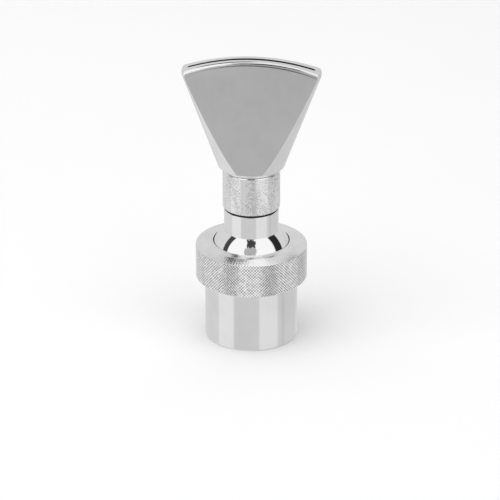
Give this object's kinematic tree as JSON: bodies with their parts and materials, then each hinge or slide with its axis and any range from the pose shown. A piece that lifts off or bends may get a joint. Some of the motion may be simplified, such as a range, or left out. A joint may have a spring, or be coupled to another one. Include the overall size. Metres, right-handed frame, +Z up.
{
  "type": "swivel fan-jet fountain nozzle",
  "caption": "Metal water nozzle: a flat flared fan head with a curved slot outlet, on a ball-jointed stem clamped by a knurled ring nut over a pipe-threaded base socket.",
  "frame": {"origin": "centre of the bottom face of the base socket, on the pipe axis", "axes": "+Z up the pipe axis from the inlet to the slot; X along the slot, the fan's wide direction; -Y out of the fan's flat front face"},
  "size_m": [0.0594, 0.048, 0.1271],
  "materials": {
    "turned_steel": "fine turned, bright",
    "knurled_steel": "diamond knurled, satin",
    "satin_steel": "satin, slightly speckled",
    "polished_chrome": "mirror polished",
    "buffed_chrome": "buffed, bright",
    "white_plastic": "waxy white bearing plastic",
    "black_rubber": "moulded, matt"
  },
  "bodies": {
    "base": {"base_socket": "turned_steel", "inlet_gasket": "black_rubber", "seat_o_ring": "black_rubber"},
    "seat": {"ball_seat_ring": "white_plastic"},
    "ball": {"ball_stem": "polished_chrome"},
    "head": {"neck_gasket": "black_rubber", "neck_collar": "satin_steel", "fan_front_shell": "buffed_chrome", "fan_rear_shell": "buffed_chrome"},
    "slip": {"slip_ring": "white_plastic"},
    "nut": {"ring_nut": "knurled_steel"}
  },
  "joints": [
    {"name": "aim_turn", "type": "hinge", "parent": "base", "child": "seat", "pos_m": [0, 0, 0.035], "axis": [0, 0, 1], "continuous": true},
    {"name": "aim_tilt", "type": "hinge", "parent": "seat", "child": "ball", "pos_m": [0, 0, 0.035], "axis": [1, 0, 0], "range_deg": [-15, 15]},
    {"name": "head_turn", "type": "hinge", "parent": "ball", "child": "head", "pos_m": [0, 0, 0.06], "axis": [0, 0, 1], "continuous": true},
    {"name": "nut_lift", "type": "slide", "parent": "base", "child": "slip", "axis": [0, 0, 1], "range_m": [0, 0.003]},
    {"name": "nut_turn", "type": "hinge", "parent": "slip", "child": "nut", "pos_m": [0, 0, 0.035], "axis": [0, 0, 1], "range_deg": [0, 720]}
  ],
  "couplings": [
    {"joint": "nut_lift", "follows": "nut_turn", "m_per_rad": 0.00023873}
  ]
}
